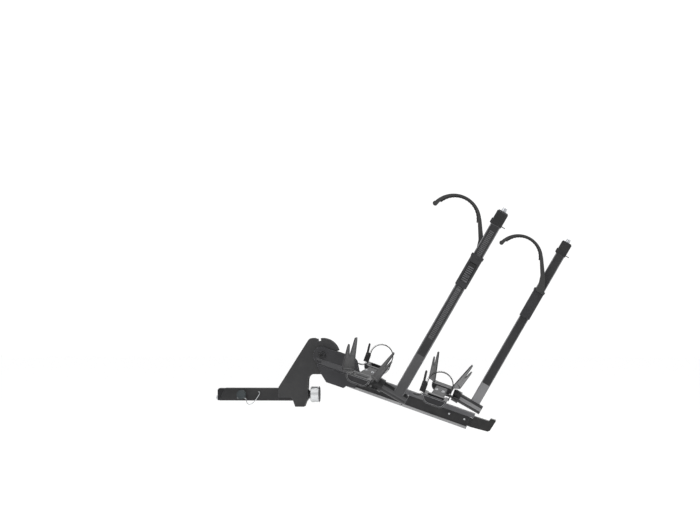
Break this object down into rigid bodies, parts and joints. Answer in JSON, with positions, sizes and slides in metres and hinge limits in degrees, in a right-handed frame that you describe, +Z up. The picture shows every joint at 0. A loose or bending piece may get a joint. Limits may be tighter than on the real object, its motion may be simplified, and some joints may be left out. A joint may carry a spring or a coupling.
{
  "type": "hitch mounted bike rack",
  "caption": "Platform bicycle rack on a square hitch shank, tilted down on its pivot, with wheel trays, folding arms and ratcheting wheel hooks.",
  "frame": {"origin": "centre of the hitch pin hole, on the axis of the square shank", "axes": "+X away from the car along the shank, +Y to the car's right, +Z up"},
  "size_m": [1.4651, 1.52, 0.9409],
  "materials": {
    "neck_steel": "satin powder coat",
    "black_steel": "satin powder coat",
    "cover_plastic": "fine moulded grain",
    "trim_grey": "satin grey",
    "tray_plastic": "moulded",
    "strap_nylon": "ribbed",
    "part_plastic": "moulded",
    "hook_paint": "satin powder coat",
    "hook_rubber": "matt",
    "bright_steel": "zinc plated",
    "dark_steel": "black oxide",
    "knob_alloy": "brushed",
    "bush_brass": "plain"
  },
  "bodies": {
    "hitch": {"shank_tube": "black_steel", "neck_plate_left": "neck_steel", "neck_plate_right": "neck_steel", "neck_web": "neck_steel", "knob_boss": "dark_steel", "pivot_bolt": "dark_steel", "pivot_nut": "bright_steel", "pivot_bushes": "bush_brass"},
    "knob": {"knob_grip": "knob_alloy", "knob_cap": "part_plastic"},
    "draw_bar": {"draw_bar": "bright_steel"},
    "wedge": {"tip_wedge": "dark_steel"},
    "pin": {"hitch_pin": "dark_steel"},
    "keeper": {"keeper_wire": "bright_steel"},
    "spine": {"spine_beam": "black_steel", "hub_plate_left": "black_steel", "hub_plate_right": "black_steel", "hub_cover_left": "cover_plastic", "hub_cover_right": "cover_plastic", "keel_pan": "black_steel", "top_cover_front": "trim_grey", "top_cover_rear": "trim_grey", "bottom_strip": "trim_grey", "side_screws": "bright_steel", "riser_block": "black_steel", "tray_bolts": "bright_steel", "release_spring": "bright_steel", "cross_tube_1": "black_steel", "cross_tube_2": "black_steel", "wheel_cradle_1": "tray_plastic", "wheel_cradle_2": "tray_plastic", "cradle_wings_1": "tray_plastic", "cradle_wings_2": "tray_plastic", "rear_tray_1": "tray_plastic", "rear_tray_2": "tray_plastic", "strap_1": "strap_nylon", "strap_2": "strap_nylon", "buckle_base_1": "part_plastic", "buckle_base_2": "part_plastic", "arm_socket_1": "black_steel", "arm_socket_2": "black_steel"},
    "release": {"tilt_handle": "part_plastic", "pull_rod": "bright_steel", "lock_bar": "bright_steel"},
    "arm_1": {"arm_post_1": "black_steel", "arm_cap_1": "part_plastic"},
    "lock_1": {"lock_plug_1": "bright_steel"},
    "carriage_1": {"hook_carriage_1": "part_plastic", "wheel_hook_1": "hook_paint", "hook_pad_1": "hook_rubber"},
    "lever_1": {"release_lever_1": "part_plastic"},
    "buckle_1": {"buckle_lever_1": "part_plastic"},
    "arm_2": {"arm_post_2": "black_steel", "arm_cap_2": "part_plastic"},
    "lock_2": {"lock_plug_2": "bright_steel"},
    "carriage_2": {"hook_carriage_2": "part_plastic", "wheel_hook_2": "hook_paint", "hook_pad_2": "hook_rubber"},
    "lever_2": {"release_lever_2": "part_plastic"},
    "buckle_2": {"buckle_lever_2": "part_plastic"}
  },
  "joints": [
    {"name": "knob_turn", "type": "hinge", "parent": "hitch", "child": "knob", "pos_m": [0.296, 0, 0], "axis": [1, 0, 0], "range_deg": [0, 380]},
    {"name": "draw_bar_slide", "type": "slide", "parent": "hitch", "child": "draw_bar", "axis": [1, 0, 0], "range_m": [0, 0.00212]},
    {"name": "wedge_slide", "type": "slide", "parent": "hitch", "child": "wedge", "axis": [0.4272, 0, 0.9042], "range_m": [0, 0.00497]},
    {"name": "pin_withdraw", "type": "slide", "parent": "hitch", "child": "pin", "axis": [0, -1, 0], "range_m": [0, 0.09]},
    {"name": "keeper_swing", "type": "hinge", "parent": "pin", "child": "keeper", "pos_m": [0, -0.052, -0.014], "axis": [1, 0, 0], "range_deg": [-35, 35]},
    {"name": "rack_tilt", "type": "hinge", "parent": "hitch", "child": "spine", "pos_m": [0.3284, 0, 0.1595], "axis": [0, -1, 0], "range_deg": [0, 120]},
    {"name": "release_pull", "type": "slide", "parent": "spine", "child": "release", "axis": [0.9426, 0, -0.3338], "range_m": [-0.01, 0.006], "stiffness_N_per_m": 900, "springref_m": -0.012},
    {"name": "arm_1_fold", "type": "hinge", "parent": "spine", "child": "arm_1", "pos_m": [0.65921, -0.55, 0.02047], "axis": [-0.866, 0, 0.5], "range_deg": [0, 78]},
    {"name": "hook_1_slide", "type": "slide", "parent": "arm_1", "child": "carriage_1", "axis": [0.5, 0, 0.866], "range_m": [-0.33, 0.1]},
    {"name": "lever_1_press", "type": "hinge", "parent": "carriage_1", "child": "lever_1", "pos_m": [0.94721, -0.574, 0.5193], "axis": [0.866, 0, -0.5], "range_deg": [0, 3], "stiffness_Nm_per_rad": 2, "springref_deg": -1.72},
    {"name": "lock_1_turn", "type": "hinge", "parent": "arm_1", "child": "lock_1", "pos_m": [1.05921, -0.556, 0.71329], "axis": [0.5, 0, 0.866], "range_deg": [0, 90]},
    {"name": "buckle_1_lift", "type": "hinge", "parent": "spine", "child": "buckle_1", "pos_m": [0.474, 0.64, 0.14825], "axis": [0, -1, 0], "range_deg": [0, 60]},
    {"name": "arm_2_fold", "type": "hinge", "parent": "spine", "child": "arm_2", "pos_m": [0.93466, 0.55, -0.07043], "axis": [0.866, 0, -0.5], "range_deg": [0, 78]},
    {"name": "hook_2_slide", "type": "slide", "parent": "arm_2", "child": "carriage_2", "axis": [0.5, 0, 0.866], "range_m": [-0.33, 0.1]},
    {"name": "lever_2_press", "type": "hinge", "parent": "carriage_2", "child": "lever_2", "pos_m": [1.20216, 0.574, 0.39289], "axis": [-0.866, 0, 0.5], "range_deg": [0, 3], "stiffness_Nm_per_rad": 2, "springref_deg": -1.72},
    {"name": "lock_2_turn", "type": "hinge", "parent": "arm_2", "child": "lock_2", "pos_m": [1.33466, 0.556, 0.62239], "axis": [0.5, 0, 0.866], "range_deg": [0, 90]},
    {"name": "buckle_2_lift", "type": "hinge", "parent": "spine", "child": "buckle_2", "pos_m": [0.76131, -0.64, 0.06985], "axis": [0, -1, 0], "range_deg": [0, 60]}
  ],
  "couplings": [
    {"joint": "draw_bar_slide", "follows": "knob_turn", "m_per_rad": 0.00031831},
    {"joint": "wedge_slide", "follows": "knob_turn", "m_per_rad": 0.00074516}
  ]
}
